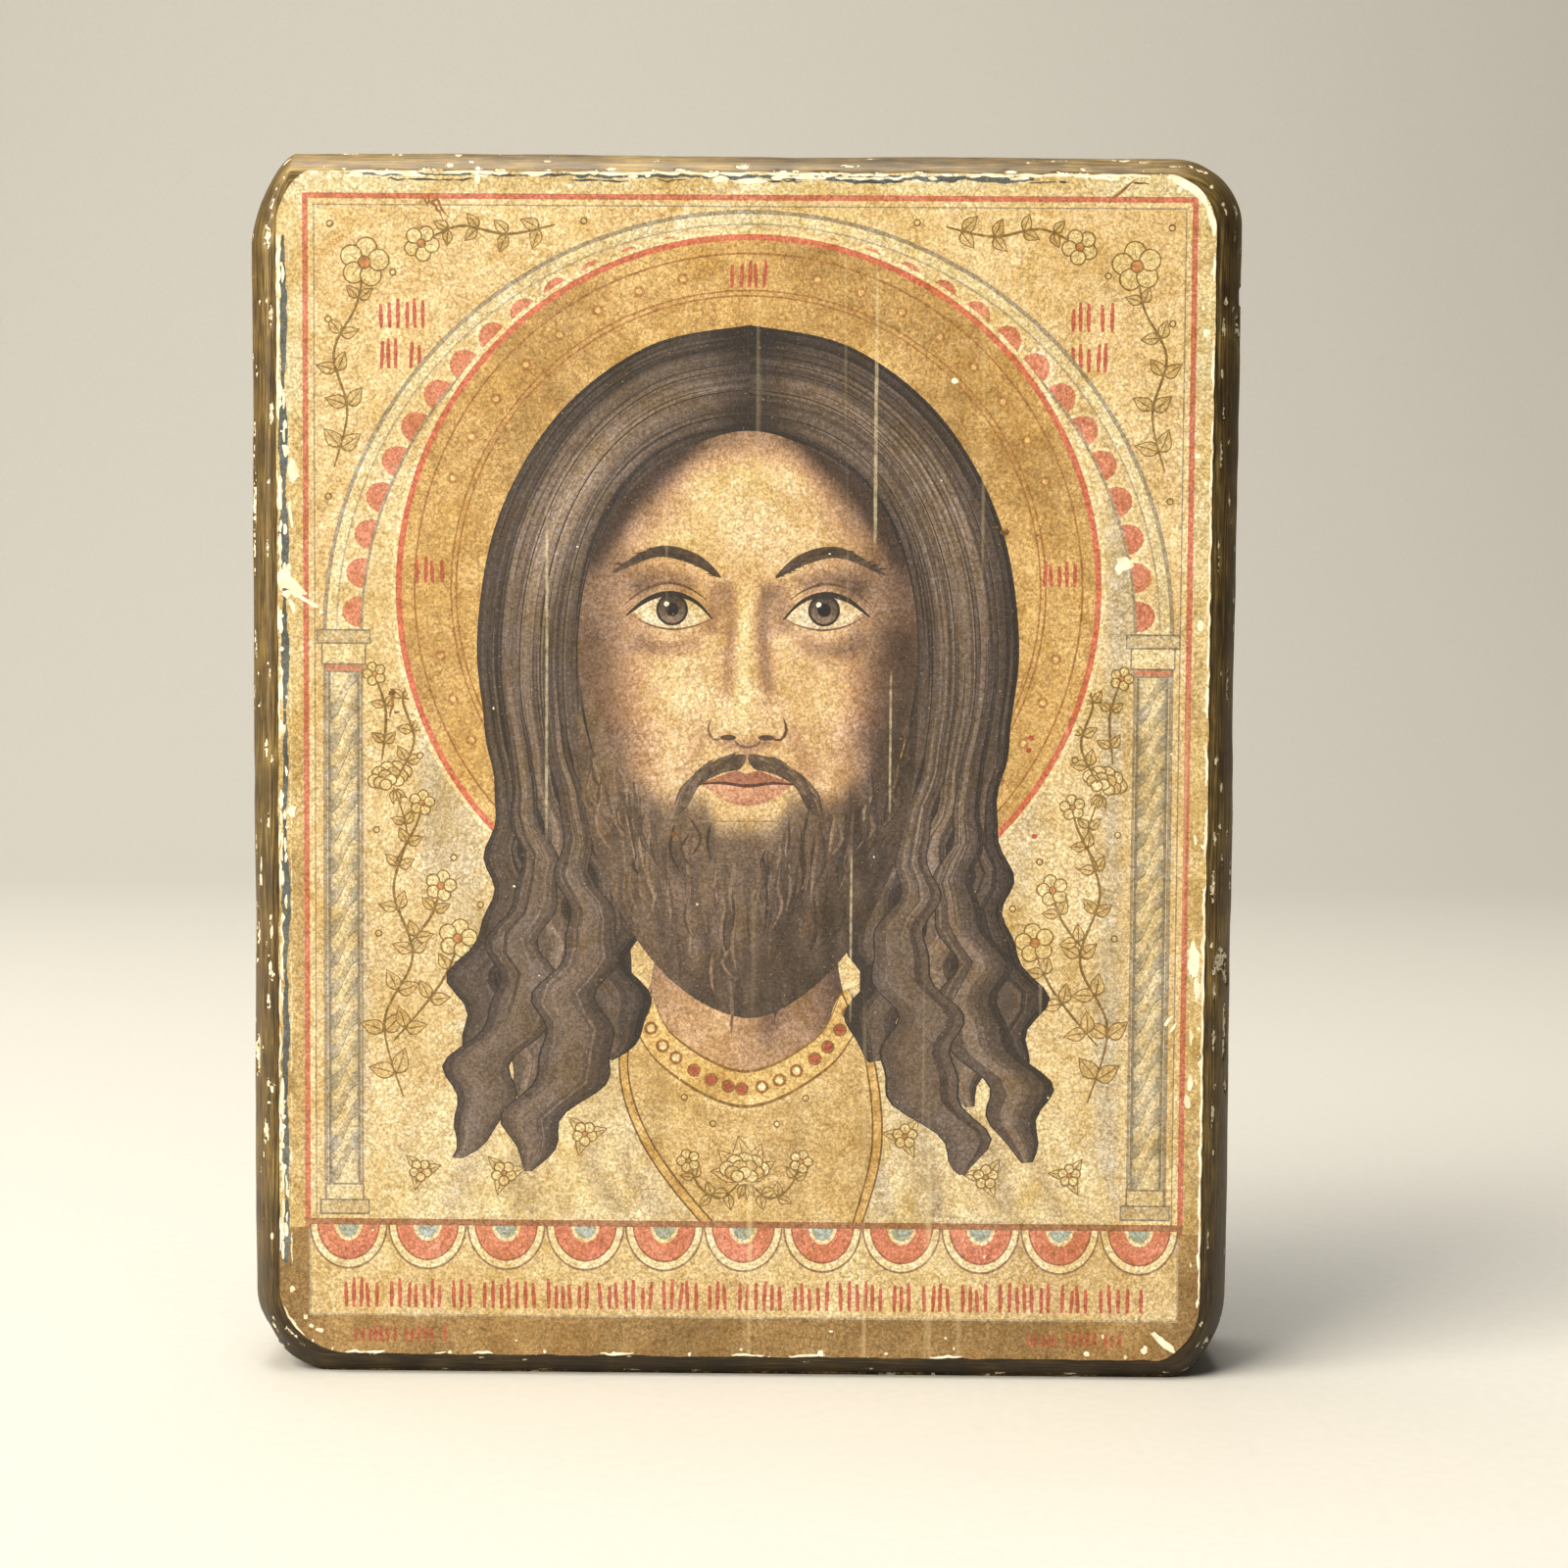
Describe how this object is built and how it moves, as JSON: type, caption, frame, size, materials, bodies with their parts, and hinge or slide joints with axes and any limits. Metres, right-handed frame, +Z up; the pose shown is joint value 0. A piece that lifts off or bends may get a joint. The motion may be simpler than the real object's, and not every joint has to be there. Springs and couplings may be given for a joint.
{
  "type": "icon panel",
  "caption": "Small thick wooden block with rounded corners and a printed devotional picture glued and varnished on its front, standing on its lower edge.",
  "frame": {"origin": "middle of the underside, halfway through the thickness", "axes": "+Z up the picture, X across its width, the picture faces -Y and the plain back faces +Y"},
  "size_m": [0.105, 0.018, 0.13],
  "materials": {
    "painted_wood": "semi-gloss bronze-brown paint over gesso, chipped along the edges",
    "printed_sheet": "printed paper under an aged satin varnish, worn white at its edges"
  },
  "bodies": {
    "root": {"board": "painted_wood", "print": "printed_sheet"}
  },
  "joints": []
}
